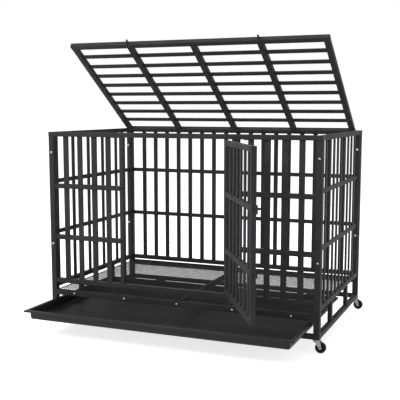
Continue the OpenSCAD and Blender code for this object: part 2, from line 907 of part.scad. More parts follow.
module door_rails() {
    x1 = door_half_w - rail_size;
    color(coat)
        door_pose()
            for (z = [door_z, door_top_z - rail_size])
                tube([-x1, -half_d, z], [x1, front_in_y, z + rail_size], 0);
}

// Bars and cross rails of the door; the cross rails hold the slide bolts
module door_grille() {
    x1 = door_half_w - rail_size;
    handle_x = door_rod_tip + door_handle_at;
    slot_w = handle_d + 2 * slot_clear;
    color(coat)
        door_pose() {
            difference() {
                for (z = cross_zs)
                    tube([-x1, -half_d, z], [x1, front_in_y, z + rail_size], 0);
                for (z = cross_zs)
                    translate([handle_x, -half_d, z + rail_size / 2])
                        block(
                            [-door_rod_travel - slot_w / 2, -cut, -slot_w / 2],
                            [slot_w / 2, tube_wall + cut, slot_w / 2]
                        );
            }
            front_bars_between(-x1, x1, door_bars, door_bar_w, door_bar_t,
                door_z + rail_size, door_top_z - rail_size);
        }
}

// Slide bolt of the door: a rod inside its cross rail, with a knob and a lock tab in front
module door_bolt(cross_z) {
    z = cross_z + rail_size / 2;
    handle_x = door_rod_tip + door_handle_at;
    tab_y = -half_d - lock_tab_out - lock_tab_t;
    knob_y = tab_y - door_knob_l;
    knob_z = z - door_knob_drop;
    color(coat)
        door_pose() {
            rod_x([door_rod_tip, door_rod_y, z], rod_d, door_rod_l);
            rod_y([handle_x, tab_y, z], handle_d, door_rod_y - tab_y);
            block(
                [handle_x - lock_tab_w / 2, tab_y, z - lock_tab_drop],
                [handle_x + lock_tab_w / 2, tab_y + lock_tab_t, z + handle_d / 2]
            );
            rod_y([handle_x, knob_y, knob_z], handle_d, door_knob_l);
            translate([handle_x, knob_y, knob_z])
                sphere(d = handle_d);
        }
}

// Tray

module tray() {
    body_w = 2 * tray_body_half_w;
    body_d = tray_d - 2 * tray_flange;
    color(sheet)
        translate([0, tray_y + tray_d / 2, tray_z]) {
            difference() {
                linear_extrude(tray_h)
                    round_rect(body_w, body_d, tray_corner_r);
                translate([0, 0, tray_t])
                    linear_extrude(tray_h)
                        round_rect(body_w - 2 * tray_t, body_d - 2 * tray_t, tray_corner_r - tray_t);
            }
            translate([0, 0, tray_h - tray_t])
                linear_extrude(tray_t)
                    difference() {
                        square([tray_w, tray_d], center = true);
                        round_rect(body_w - tray_t, body_d - tray_t, tray_corner_r - tray_t / 2);
                    }
        }
}

// Casters

// Threaded stems with their swivel heads and king pins, and the inserts that hold them in the posts
module caster_stems() {
    insert_w = post_size - 2 * tube_wall - 2 * insert_clear;
    color(zinc)
        for (sx = [-1, 1], sy = [-1, 1])
            translate([sx * post_mid_x, sy * post_mid_y, 0]) {
                rod_z([0, 0, base_z - swivel_h], swivel_d, swivel_h);
                rod_z([0, 0, crown_z - swivel_gap], king_d, base_z - crown_z);
                rod_z([0, 0, crown_z - swivel_gap - king_head_h], king_head_d, king_head_h);
                rod_z([0, 0, base_z], stem_d, stem_l);
                difference() {
                    translate([-insert_w / 2, -insert_w / 2, base_z])
                        cube([insert_w, insert_w, insert_h]);
                    rod_z([0, 0, base_z - cut], stem_d + 2 * insert_clear, insert_h + 2 * cut);
                }
            }
}

// Fork that trails towards +X, with its riveted axle
module fork(sx, sy) {
    out = fork_in + fork_t;
    crown_r = swivel_d / 2;
    color(zinc)
        translate([sx * post_mid_x, sy * post_mid_y, 0])
            difference() {
                union() {
                    rod_z([0, 0, crown_z], swivel_d, fork_t);
                    block([-fork_back, -out, crown_z], [trail, out, crown_z + fork_t]);
                    for (y0 = [-out, fork_in]) {
                        rod_y([trail, y0, wheel_r], 2 * fork_eye_r, fork_t);
                        translate([0, y0 + fork_t, 0])
                            rotate([90, 0, 0])
                                linear_extrude(fork_t)
                                    polygon([
                                        [-fork_back, crown_z + fork_t],
                                        [trail, crown_z + fork_t],
                                        [trail + fork_eye_r, wheel_r],
                                        [trail - fork_eye_r, wheel_r]
                                    ]);
                    }
                    rod_y([trail, -out, wheel_r], axle_d, 2 * out);
                }
                rod_z([0, 0, crown_z - cut], king_d + 2 * axle_clear, fork_t + 2 * cut);
            }
}

// Wheel with a rounded tread, dished sides and a hub
module wheel(sx, sy) {
    bore_r = axle_d / 2 + axle_clear;
    half = wheel_w / 2;
    rim_r = wheel_r - tread_t;
    web = half - dish_depth;
    color(tyre)
        translate([sx * post_mid_x + trail, sy * post_mid_y, wheel_r])
            rotate([90, 0, 0])
                rotate_extrude($fn = 72)
                    union() {
                        translate([bore_r, -web])
                            square([rim_r - bore_r, 2 * web]);
                        translate([bore_r, -hub_w / 2])
                            square([hub_d / 2 - bore_r, hub_w]);
                        translate([rim_r, -half])
                            square([tread_t - wheel_edge_r, wheel_w]);
                        translate([rim_r, wheel_edge_r - half])
                            square([tread_t, wheel_w - 2 * wheel_edge_r]);
                        for (s = [-1, 1])
                            translate([wheel_r - wheel_edge_r, s * (half - wheel_edge_r)])
                                circle(wheel_edge_r);
                    }
}

post(-1, -1);  // front_left_post
post(1, -1);  // front_right_post
post(-1, 1);  // back_left_post
post(1, 1);  // back_right_post
front_top_rail();
back_top_rail();
side_top_rail(-1);  // left_top_rail
side_top_rail(1);  // right_top_rail
top_rail_plugs();
lid_rest_tabs();
front_sill_rail();
floor_rail(-1);  // front_floor_rail
cross_base_rail(-1);  // front_base_rail
door_jamb(-1);  // left_door_jamb
door_jamb(1);  // right_door_jamb
front_grille(-1);  // front_left_grille
front_grille(1);  // front_right_grille
back_bottom_rail();
floor_rail(1);  // back_floor_rail
cross_base_rail(1);  // back_base_rail
back_grille();
side_bottom_rail(-1);  // left_bottom_rail
side_base_rail(-1);  // left_base_rail
side_grille(-1);  // left_grille
side_bottom_rail(1);  // right_bottom_rail
side_base_rail(1);  // right_base_rail
side_grille(1);  // right_grille
base_struts();
floor_mesh();
floor_screws();
corner_bolts();
tray_runners();
lid_hinge_brackets();
door_hinge_brackets();
hinge_pins();
caster_stems();
lid_front_rail();
lid_back_rail();
lid_end_rails();
lid_dividers();
lid_bars();
lid_hinge_straps();
lid_bolt(lid_rod_xs[0]);  // lid_bolt_left
lid_bolt(lid_rod_xs[1]);  // lid_bolt_right
door_stile(1);  // door_hinge_stile
door_stile(-1);  // door_latch_stile
door_rails();
door_grille();
door_hinge_leaves();
door_bolt(cross_zs[0]);  // door_bolt_lower
door_bolt(cross_zs[1]);  // door_bolt_upper
tray();
fork(-1, -1);  // front_left_fork
fork(1, -1);  // front_right_fork
fork(-1, 1);  // back_left_fork
fork(1, 1);  // back_right_fork
wheel(-1, -1);  // front_left_wheel
wheel(1, -1);  // front_right_wheel
wheel(-1, 1);  // back_left_wheel
wheel(1, 1);  // back_right_wheel
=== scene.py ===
import json
import math

import bmesh
import bpy
from mathutils import Matrix, Vector


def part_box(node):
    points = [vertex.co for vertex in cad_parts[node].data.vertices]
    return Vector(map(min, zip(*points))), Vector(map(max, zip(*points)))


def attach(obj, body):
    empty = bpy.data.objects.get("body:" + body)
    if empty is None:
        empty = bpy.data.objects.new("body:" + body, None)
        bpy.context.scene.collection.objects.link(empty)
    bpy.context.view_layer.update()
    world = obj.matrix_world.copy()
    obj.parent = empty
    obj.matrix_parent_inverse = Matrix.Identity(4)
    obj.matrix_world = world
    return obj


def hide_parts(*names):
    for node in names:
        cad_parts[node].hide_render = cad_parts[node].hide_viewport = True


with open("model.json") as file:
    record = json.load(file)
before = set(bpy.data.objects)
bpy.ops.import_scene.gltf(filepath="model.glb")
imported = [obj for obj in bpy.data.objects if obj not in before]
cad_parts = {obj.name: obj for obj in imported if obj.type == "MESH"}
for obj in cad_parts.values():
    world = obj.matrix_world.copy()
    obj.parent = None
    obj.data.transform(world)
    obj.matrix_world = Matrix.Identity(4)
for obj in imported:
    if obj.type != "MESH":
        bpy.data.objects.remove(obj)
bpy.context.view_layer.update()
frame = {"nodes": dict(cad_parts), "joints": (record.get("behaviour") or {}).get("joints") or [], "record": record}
nodes = frame["nodes"]
joints = {joint["name"]: joint for joint in frame["joints"]}

X, Y, Z = range(3)
BOTH = (-1, 1)
CORNERS = ("front_left", "front_right", "back_left", "back_right")

# Sizes of the real parts in metres, where the frame does not give them
RAIL = 0.020
TUBE_WALL = 0.0015
TUBE_EDGE = 0.002
STILE_T = 0.016
SHEET_T = 0.003
SHEET_PLAY = 0.0005


# Material nodes

BEVEL_SAMPLES = 6
# Likeness of the plain and the softened normal where the edge mask starts, and where it is full
EDGE_LIKENESS = (0.995, 0.85)
# Upward share of a face's normal where dust and painted top light start, and where they are full
DUST_AND_TOP_LIGHT_SLOPE = (0.6, 1.0)


def material(name):
    """New material with its shader, and the place on the object that its textures follow."""
    mat = bpy.data.materials.new(name)
    mat.use_nodes = True
    tree = mat.node_tree
    tree.nodes.clear()
    out = tree.nodes.new("ShaderNodeOutputMaterial")
    bsdf = tree.nodes.new("ShaderNodeBsdfPrincipled")
    tree.links.new(bsdf.outputs["BSDF"], out.inputs["Surface"])
    place = add(tree, "ShaderNodeTexCoord").outputs["Object"]
    return mat, tree, bsdf, place


def add(tree, kind, inputs=None, **settings):
    """New node; an input is linked where it is a socket and set where it is a value."""
    node = tree.nodes.new(kind)
    for key, value in settings.items():
        setattr(node, key, value)
    for key, value in (inputs or {}).items():
        if isinstance(value, bpy.types.NodeSocket):
            tree.links.new(value, node.inputs[key])
        else:
            node.inputs[key].default_value = value
    return node


def noise(tree, place, scale, detail=2.0, roughness=0.5):
    values = {"Vector": place, "Scale": scale, "Detail": detail, "Roughness": roughness}
    return add(tree, "ShaderNodeTexNoise", values).outputs["Fac"]


def remap(tree, value, span, to=(0.0, 1.0)):
    values = {"Value": value, "From Min": span[0], "From Max": span[1], "To Min": to[0], "To Max": to[1]}
    return add(tree, "ShaderNodeMapRange", values).outputs["Result"]


def math_node(tree, operation, a, b):
    return add(tree, "ShaderNodeMath", {0: a, 1: b}, operation=operation).outputs["Value"]


def mix(tree, factor, a, b):
    values = {"Fac": factor, "Color1": a, "Color2": b}
    return add(tree, "ShaderNodeMixRGB", values).outputs["Color"]


def grey(value, blue=1.0):
    return (value, value, value * blue, 1.0)


def bump(tree, height, distance, strength, normal):
    values = {"Height": height, "Distance": distance, "Strength": strength, "Normal": normal}
    return add(tree, "ShaderNodeBump", values).outputs["Normal"]


def stretched(tree, place, scale):
    return add(tree, "ShaderNodeMapping", {"Vector": place, "Scale": scale}).outputs["Vector"]


def edges(tree, radius):
    """Softened normal, and a mask that is 1 along sharp edges."""
    soft = add(tree, "ShaderNodeBevel", {"Radius": radius}, samples=BEVEL_SAMPLES).outputs["Normal"]
    plain = add(tree, "ShaderNodeNewGeometry").outputs["Normal"]
    product = add(tree, "ShaderNodeVectorMath", {0: soft, 1: plain}, operation="DOT_PRODUCT")
    return soft, remap(tree, product.outputs["Value"], EDGE_LIKENESS)


def upward(tree):
    """Mask that is 1 on faces that look up, where dust settles and painted top light falls."""
    normal = add(tree, "ShaderNodeNewGeometry").outputs["Normal"]
    height = add(tree, "ShaderNodeSeparateXYZ", {0: normal}).outputs["Z"]
    return remap(tree, height, DUST_AND_TOP_LIGHT_SLOPE)


def dress(tree, bsdf, tone, roughness, normal, constants):
    """Links what varies over the surface, and sets what does not on the shader's own sockets."""
    for key, socket in (("Base Color", tone), ("Roughness", roughness), ("Normal", normal)):
        tree.links.new(socket, bsdf.inputs[key])
    for key, value in constants.items():
        bsdf.inputs[key].default_value = value


# Finishes

def powder_coat():
    """Charcoal coat with orange peel, specks, dust and painted top light on upward faces, and rubbed edges with a
    painted highlight.
    """
    dark, light, speck = grey(0.022, 1.04), grey(0.031, 1.04), grey(0.045, 1.02)
    # The dusty tone is also painted top light; the rubbed tone is also a painted edge highlight.
    dusty_and_lit, rubbed_and_highlit = grey(0.055), grey(0.075)
    mat, tree, bsdf, place = material("powder_coat")
    mottle = noise(tree, place, scale=9.0, detail=4.0, roughness=0.6)
    powder = noise(tree, place, scale=1100.0)
    peel = noise(tree, place, scale=300.0, detail=1.0)
    patch = noise(tree, place, scale=45.0, detail=3.0)
    soft, edge_mask = edges(tree, radius=0.0012)
    tone = mix(tree, remap(tree, mottle, (0.35, 0.65)), dark, light)
    tone = mix(tree, remap(tree, powder, (0.55, 0.75), to=(0.0, 0.5)), tone, speck)
    # Dust on upward faces, partly painted light: it lightens the tops as if lit from above.
    dust_and_top_light = math_node(tree, "MULTIPLY", upward(tree), remap(tree, patch, (0.4, 0.7), to=(0.05, 0.2)))
    tone = mix(tree, dust_and_top_light, tone, dusty_and_lit)
    # Rubbed edges, partly a painted highlight: the edges are lightened like the highlight lines along the tubes.
    rub_and_highlight = math_node(tree, "MULTIPLY", edge_mask, remap(tree, patch, (0.42, 0.62), to=(0.1, 0.5)))
    tone = mix(tree, rub_and_highlight, tone, rubbed_and_highlit)
    roughness = remap(tree, patch, (0.3, 0.7), to=(0.56, 0.72))
    normal = bump(tree, peel, distance=0.0006, strength=0.22, normal=soft)
    normal = bump(tree, powder, distance=0.0002, strength=0.25, normal=normal)
    dress(tree, bsdf, tone, roughness, normal, {"Specular IOR Level": 0.12})
    return mat


def plated_steel(name, share, rough):
    """Zinc plating with spangle and stains; the share darkens all of it, and on the casters that darkening is
    painted shade.
    """
    dark, light = grey(0.50 * share, 1.03), grey(0.62 * share, 1.02)
    stained, bright = grey(0.33 * share, 0.98), grey(0.74 * share)
    mat, tree, bsdf, place = material(name)
    cells = add(tree, "ShaderNodeTexVoronoi", {"Vector": place, "Scale": 520.0}).outputs["Color"]
    spangle = add(tree, "ShaderNodeSeparateColor", {0: cells}).outputs["Red"]
    stain = noise(tree, place, scale=130.0, detail=4.0, roughness=0.65)
    soft, edge_mask = edges(tree, radius=0.0006)
    tone = mix(tree, spangle, dark, light)
    tone = mix(tree, remap(tree, stain, (0.5, 0.75), to=(0.0, 0.6)), tone, stained)
    tone = mix(tree, math_node(tree, "MULTIPLY", edge_mask, 0.5), tone, bright)
    roughness = remap(tree, stain, (0.3, 0.7), to=rough)
    normal = bump(tree, stain, distance=0.0002, strength=0.2, normal=soft)
    dress(tree, bsdf, tone, roughness, normal, {"Metallic": 1.0})
    return mat


def tray_plastic():
    """Moulded plastic with a fine grain, and scratches across and along the tray."""
    dark, light = grey(0.0085, 1.02), grey(0.0125, 1.02)
    scuffed, scraped, pale = grey(0.055), grey(0.05), grey(0.09)
    mat, tree, bsdf, place = material("tray_plastic")
    grain = add(tree, "ShaderNodeTexVoronoi", {"Vector": place, "Scale": 650.0}).outputs["Distance"]
    haze = noise(tree, place, scale=5.0, detail=5.0, roughness=0.55)
    across = stretched(tree, place, (14.0, 420.0, 420.0))
    along = stretched(tree, place, (420.0, 11.0, 420.0))
    scuff = noise(tree, across, scale=1.0, detail=3.0, roughness=0.6)
    scrape = noise(tree, along, scale=1.0, detail=3.0, roughness=0.6)
    soft, edge_mask = edges(tree, radius=0.0015)
    tone = mix(tree, remap(tree, haze, (0.35, 0.65)), dark, light)
    tone = mix(tree, remap(tree, scuff, (0.66, 0.76), to=(0.0, 0.35)), tone, scuffed)
    tone = mix(tree, remap(tree, scrape, (0.66, 0.76), to=(0.0, 0.35)), tone, scraped)
    tone = mix(tree, math_node(tree, "MULTIPLY", edge_mask, 0.35), tone, pale)
    roughness = remap(tree, haze, (0.3, 0.7), to=(0.40, 0.52))
    normal = bump(tree, grain, distance=0.0004, strength=0.16, normal=soft)
    dress(tree, bsdf, tone, roughness, normal, {"Specular IOR Level": 0.2})
    return mat


def black_plastic(name, tones, rough):
    """Blotched black plastic or rubber with a fine grain."""
    dark, light, pale = grey(tones[0]), grey(tones[1]), grey(0.03)
    mat, tree, bsdf, place = material(name)
    blotch = noise(tree, place, scale=90.0, detail=4.0, roughness=0.6)
    grain = noise(tree, place, scale=1500.0)
    soft, edge_mask = edges(tree, radius=0.0008)
    tone = mix(tree, remap(tree, blotch, (0.35, 0.7)), dark, light)
    tone = mix(tree, math_node(tree, "MULTIPLY", edge_mask, 0.3), tone, pale)
    roughness = remap(tree, blotch, (0.3, 0.7), to=rough)
    normal = bump(tree, grain, distance=0.0002, strength=0.25, normal=soft)
    dress(tree, bsdf, tone, roughness, normal, {"Specular IOR Level": 0.2})
    return mat


finishes = {
    "coat": powder_coat(),
    "zinc": plated_steel("zinc_plate", share=0.85, rough=(0.28, 0.46)),
    # The casters' plating is darkened to half as painted shade.
    "caster_steel": plated_steel("caster_steel", share=0.5, rough=(0.36, 0.52)),
    "tray_plastic": tray_plastic(),
    "wheel": black_plastic("wheel_rubber", tones=(0.003, 0.006), rough=(0.52, 0.7)),
    "plug_plastic": black_plastic("plug_plastic", tones=(0.008, 0.013), rough=(0.42, 0.55)),
}
for part in frame["record"]["subparts"]:
    mesh = nodes[part["node"]].data
    mesh.materials.clear()
    mesh.materials.append(finishes[part["material_slot"]])


# Shared mesh code

# A wider gap than this between a node's points parts them into groups
GROUP_GAP = 0.02
FACE_TOLERANCE = 0.0002


def piece(name, bm, body, slot, *replaced, sharp=40.0):
    """Turns the mesh into an object that rides on a body; edges over the sharp angle stay hard."""
    bmesh.ops.recalc_face_normals(bm, faces=bm.faces)
    mesh = bpy.data.meshes.new(name)
    bm.to_mesh(mesh)
    bm.free()
    mesh.polygons.foreach_set("use_smooth", [True] * len(mesh.polygons))
    mesh.set_sharp_from_angle(angle=math.radians(sharp))
    mesh.materials.append(finishes[slot])
    obj = bpy.data.objects.new(name, mesh)
    bpy.context.scene.collection.objects.link(obj)
    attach(obj, body)
    if replaced:
        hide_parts(*replaced)


def loft(bm, rings, wrap=False):
    """Skin over rings of equally many points; it meets itself where it wraps, and is capped otherwise."""
    loops = [[bm.verts.new(point) for point in ring] for ring in rings]
    count = len(loops[0])
    pairs = list(zip(loops, loops[1:]))
    if wrap:
        pairs.append((loops[-1], loops[0]))
    for a, b in pairs:
        for i in range(count):
            k = (i + 1) % count
            bm.faces.new((a[i], a[k], b[k], b[i]))
    if not wrap:
        bm.faces.new(loops[0][::-1])
        bm.faces.new(loops[-1])


def circle(pose, radius, height, count, sides=0):
    """Ring round the pose's Z axis; with sides it is a polygon of that many sides."""
    points = []
    for i in range(count):
        angle = 2 * math.pi * i / count
        reach = radius
        if sides:
            half = math.pi / sides
            reach *= math.cos(half) / math.cos((angle % (2 * half)) - half)
        points.append(pose @ Vector((reach * math.cos(angle), reach * math.sin(angle), height)))
    return points


def turned(bm, pose, profile, count=24, wrap=False):
    """Turned part; the profile holds (radius, height) or (radius, height, sides)."""
    loft(bm, [circle(pose, *row[:2], count, *row[2:]) for row in profile], wrap=wrap)


def round_rect(half_x, half_y, radius, steps):
    """Points of an oblong with round corners, as (x, y)."""
    points = []
    for quarter, (sx, sy) in enumerate(((1, 1), (-1, 1), (-1, -1), (1, -1))):
        for step in range(steps + 1):
            angle = math.radians(90 * (quarter + step / steps))
            points.append((sx * (half_x - radius) + radius * math.cos(angle),
                           sy * (half_y - radius) + radius * math.sin(angle)))
    return points


def oblong(bm, low, high):
    """Box between two corners."""
    xs, ys, zs = zip(low, high)
    plan = ((0, 0), (1, 0), (1, 1), (0, 1))
    loft(bm, [[Vector((xs[i], ys[k], z)) for i, k in plan] for z in zs])


def aimed(origin, direction):
    """Pose whose Z axis points in the direction."""
    turn = Vector((0, 0, 1)).rotation_difference(Vector(direction)).to_matrix().to_4x4()
    return Matrix.Translation(origin) @ turn


def closed_pose(joint):
    """Turns what is drawn closed to where it stands at rest."""
    pivot = Matrix.Translation(Vector(joint["pos_m"]))
    angle = -math.radians(joint["range_deg"][0])
    return pivot @ Matrix.Rotation(angle, 4, Vector(joint["axis"])) @ pivot.inverted()


def closed_points(node, pose):
    """Points of a node in its body's closed place."""
    back = pose.inverted()
    return [back @ vert.co for vert in nodes[node].data.vertices]


def closed_box(node, pose):
    """Lowest and highest corner of a node in its body's closed place."""
    points = closed_points(node, pose)
    return [Vector([pick(point[i] for point in points) for i in range(3)]) for pick in (min, max)]


def rows(node, pose):
    """Cross rails of a grille, as pairs of lowest and highest level."""
    points = closed_points(node, pose)
    front = min(point.y for point in points)
    levels = sorted({round(point.z, 4) for point in points if point.y < front + FACE_TOLERANCE})
    lows = [z for i, z in enumerate(levels) if i == 0 or z - levels[i - 1] > RAIL]
    return [(z - TUBE_EDGE, z - TUBE_EDGE + RAIL) for z in lows]


def centres(node, axis):
    """Middles of the groups that a node's points form along an axis."""
    values = sorted(vert.co[axis] for vert in nodes[node].data.vertices)
    groups = [[values[0]]]
    for value in values[1:]:
        if value - groups[-1][-1] > GROUP_GAP:
            groups.append([])
        groups[-1].append(value)
    return [(group[0] + group[-1]) / 2 for group in groups]


fixed = Matrix.Identity(4)
lid_pose = closed_pose(joints["lid_hinge"])
door_pose = closed_pose(joints["door_hinge"])
post_low, post_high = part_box("front_left_post")
half_w, half_d = -post_low.x, -post_low.y
post_in_w, post_in_d = -post_high.x, -post_high.y


# Bolts, screws and nuts

BOLT_R = 0.003
HEX = 6
SHANK_START = 0.0002
THREAD_STEP = 0.0004
THREAD_ROOT = 0.88
THREAD_TIP = 0.7
THREAD_PAST_NUT = 0.002
NUT_R = 0.00575
NUT_FLAT = NUT_R * math.cos(math.pi / HEX)
NUT_H = 0.005
FASTENER_SHARP = 30.0
# Flange, button and socket of the head, as radius, height and sides
HEAD = (
    (0.0047, 0.0), (0.00475, 0.0003), (0.0046, 0.0007), (0.0041, 0.0009), (0.0040, 0.0013), (0.0036, 0.0020),
    (0.0030, 0.0025), (0.0024, 0.0028), (0.0021, 0.0029), (0.0020, 0.0028, HEX), (0.0019, 0.0012, HEX),
)
# Lock nut, likewise: its foot from the grip up, and its shoulder and collar from its end
NUT_FOOT = ((BOLT_R, 0.0), (NUT_FLAT, 0.0), (NUT_R, 0.0006, HEX))
NUT_COLLAR = (
    (NUT_R, -0.0016, HEX), (NUT_FLAT, -0.0010), (NUT_FLAT * 0.8, -0.0008), (NUT_FLAT * 0.78, 0.0),
    (BOLT_R, 0.0002),
)


def bolt(bm, origin, direction, grip):
    """Flanged button head with a hexagon socket, its threaded shank, and a lock nut past the grip."""
    turned(bm, aimed(origin, direction), HEAD)
    inward = aimed(origin, -Vector(direction))
    end = grip + NUT_H
    thread = [(BOLT_R, SHANK_START), (BOLT_R, grip)]
    level = grip
    while level + 2 * THREAD_STEP < end + THREAD_PAST_NUT:
        thread += [(BOLT_R * THREAD_ROOT, level + THREAD_STEP), (BOLT_R, level + 2 * THREAD_STEP)]
        level += 2 * THREAD_STEP
    thread.append((BOLT_R * THREAD_TIP, level + THREAD_STEP))
    turned(bm, inward, thread, count=16)
    nut = [(radius, grip + z, *sides) for radius, z, *sides in NUT_FOOT]
    nut += [(radius, end + z, *sides) for radius, z, *sides in NUT_COLLAR]
    turned(bm, inward, nut, wrap=True)


def fasteners():
    bm = bmesh.new()
    mid_x = (half_w + post_in_w) / 2
    grip = half_d - post_in_d + STILE_T
    levels = centres("corner_bolts", Z)
    for sx in BOTH:
        for sy in BOTH:
            for z in levels:
                bolt(bm, Vector((sx * mid_x, sy * half_d, z)), (0, sy, 0), grip)
    piece("corner_bolt_set", bm, "frame", "zinc", "corner_bolts", sharp=FASTENER_SHARP)
    bm = bmesh.new()
    rail_low, rail_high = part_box("front_floor_rail")
    level = (rail_low.z + rail_high.z) / 2
    for x in centres("floor_screws", X):
        for sy in BOTH:
            bolt(bm, Vector((x, sy * half_d, level)), (0, sy, 0), RAIL + SHEET_T + SHEET_PLAY)
    piece("floor_screw_set", bm, "frame", "zinc", "floor_screws", sharp=FASTENER_SHARP)


# Wire mesh floor

WIRE_R = 0.00095
WIRE_PITCH = 0.0115
WIRE_LAP = 0.002
RIM_W = 0.005
RIM_EDGE = 0.0004
FLANGE_LAP = 0.0002
BEAM = 0.020
BEAM_PLAY = 0.003
# Section of the rim, as inset from the outside and drop from the top
RIM = (
    (0.0, SHEET_T), (0.0, RIM_EDGE), (RIM_EDGE, 0.0),
    (RIM_W - RIM_EDGE, 0.0), (RIM_W, RIM_EDGE), (RIM_W, SHEET_T),
)


def wires(bm, along, reach, span, level):
    """Wires that lie along an axis, spread over the reach on both sides of the middle."""
    direction = (1, 0, 0) if along == X else (0, 1, 0)
    count = round(2 * reach / WIRE_PITCH)
    for i in range(1, count):
        across = -reach + 2 * reach * i / count
        start = Vector((-span, across, level) if along == X else (across, -span, level))
        turned(bm, aimed(start, direction), [(WIRE_R, 0.0), (WIRE_R, 2 * span)], count=8)


def floor_panel():
    low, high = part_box("floor_mesh")
    bm = bmesh.new()
    rings = []
    for inset, drop in RIM:
        x, y, z = high.x - inset, high.y - inset, high.z - drop
        rings.append([Vector((x, y, z)), Vector((-x, y, z)), Vector((-x, -y, z)), Vector((x, -y, z))])
    loft(bm, rings, wrap=True)
    flange_y = half_d - RAIL - SHEET_PLAY - SHEET_T
    span_x, span_y = high.x - RIM_W + WIRE_LAP, high.y - RIM_W + WIRE_LAP
    wires(bm, X, flange_y - WIRE_R, span_x, high.z - 3 * WIRE_R)
    wires(bm, Y, span_x, span_y, high.z - WIRE_R)
    under = high.z - SHEET_T
    for sy in BOTH:
        y0, y1 = sorted((sy * flange_y, sy * (flange_y + SHEET_T)))
        oblong(bm, (low.x, y0, low.z), (high.x, y1, under + FLANGE_LAP))
    beam_y = flange_y - NUT_H - BEAM_PLAY
    outside, inside = (BEAM / 2, TUBE_EDGE), (BEAM / 2 - TUBE_WALL, TUBE_EDGE / 4)
    rings = []
    for (half, edge), y in ((outside, -beam_y), (outside, beam_y), (inside, beam_y), (inside, -beam_y)):
        rings.append([Vector((x, y, under - BEAM / 2 + z)) for x, z in round_rect(half, half, edge, steps=3)])
    loft(bm, rings, wrap=True)
    piece("wire_floor", bm, "frame", "coat", "floor_mesh")


# Moulded tray

TRAY_WALL = 0.002
TRAY_FLANGE = 0.016
TRAY_LIP = 0.007
TRAY_DRAFT = 0.003
TRAY_FILLET = 0.008
TRAY_CORNER = 0.010
CORNER_TAPER = 0.6
LIP_INSET = 0.01
LIP_CORNER = 0.003
FILLET_STEPS = 6
# From the outside of the wall round the lip to its inside, as inset and drop from the top
TRAY_RIM = (
    (TRAY_FLANGE + 0.0005, 0.006), (TRAY_FLANGE - 0.0006, 0.0035), (TRAY_FLANGE - 0.003, TRAY_WALL),
    (0.004, TRAY_WALL), (0.0026, 0.0026), (0.002, 0.004), (0.0018, TRAY_LIP), (0.0009, TRAY_LIP + 0.0005),
    (0.0, TRAY_LIP), (0.0, 0.0025), (0.0007, 0.0007), (0.0025, 0.0), (TRAY_FLANGE - 0.0025, 0.0),
    (TRAY_FLANGE + 0.0005, 0.0008), (TRAY_FLANGE + 0.0022, 0.003),
)


def tray_fillet(radius):
    """Quarter round between floor and wall, from the floor up, as inset and height."""
    foot = TRAY_FLANGE + TRAY_DRAFT + TRAY_FILLET
    angles = [math.radians(90 * i / FILLET_STEPS) for i in range(FILLET_STEPS + 1)]
    return [(foot - radius * math.sin(angle), TRAY_FILLET - radius * math.cos(angle)) for angle in angles]


def moulded_tray():
    low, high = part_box("tray")
    middle, half = (low + high) / 2, (high - low) / 2
    height = high.z - low.z
    section = tray_fillet(TRAY_FILLET)
    section += [(inset, height - drop) for inset, drop in TRAY_RIM]
    section += tray_fillet(TRAY_FILLET - TRAY_WALL)[::-1]
    rings = []
    for inset, z in section:
        radius = LIP_CORNER
        if inset >= LIP_INSET:
            radius = TRAY_CORNER - max(-TRAY_WALL, inset - TRAY_FLANGE) * CORNER_TAPER
        plan = round_rect(half.x - inset, half.y - inset, radius, steps=8)
        rings.append([Vector((middle.x + x, middle.y + y, low.z + z)) for x, y in plan])
    bm = bmesh.new()
    loft(bm, rings)
    piece("moulded_tray", bm, "slide_out_tray", "tray_plastic", "tray", sharp=50.0)


# Casters

CASTER_SHARP = 35.0
# Half of the wheel from its bore to its tread, as radius and distance from its middle
WHEEL = (
    (0.0031, 0.0095), (0.0070, 0.0095), (0.0075, 0.0090), (0.0075, 0.0066), (0.0081, 0.0060),
    (0.0146, 0.0060), (0.0155, 0.0065), (0.0160, 0.0084), (0.0167, 0.0090), (0.0180, 0.0090),
    (0.0198, 0.0085), (0.0211, 0.0073), (0.0218, 0.0056), (0.0220, 0.0036), (0.0220, 0.0008),
)
# Head of the axle's rivet, as radius and height over the fork's side
RIVET = ((0.0045, -0.0004), (0.0045, 0.0004), (0.0040, 0.0011), (0.0030, 0.0016), (0.0014, 0.0019))
# Rolled rim of the fork's crown, as radius and height over the fork's top
CROWN_RIM = (
    (0.0150, -0.0032), (0.0157, -0.0034), (0.0160, -0.0020), (0.0157, -0.0004), (0.0150, 0.0),
    (0.0142, -0.0008), (0.0142, -0.0028),
)


def casters():
    profile = [(radius, -y) for radius, y in WHEEL] + [(radius, y) for radius, y in WHEEL[::-1]]
    for corner in CORNERS:
        low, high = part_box(corner + "_wheel")
        axle = (low + high) / 2
        bm = bmesh.new()
        turned(bm, aimed(axle, (0, 1, 0)), profile, count=64, wrap=True)
        piece(corner + "_tyre", bm, corner + "_roller", "wheel", corner + "_wheel", sharp=CASTER_SHARP)
        low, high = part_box(corner + "_fork")
        bm = bmesh.new()
        for sy, y in ((-1, low.y), (1, high.y)):
            turned(bm, aimed(Vector((axle.x, y, axle.z)), (0, sy, 0)), RIVET, count=20)
        swivel_x, swivel_y, _ = joints[corner + "_swivel"]["pos_m"]
        turned(bm, aimed(Vector((swivel_x, swivel_y, high.z)), (0, 0, 1)), CROWN_RIM, count=40, wrap=True)
        piece(corner + "_fork_trim", bm, corner + "_caster", "caster_steel", sharp=CASTER_SHARP)


# Push-in plugs in open tube ends

PLUG_IN = TUBE_WALL + 0.0001
PLUG_CORNER = 0.0015
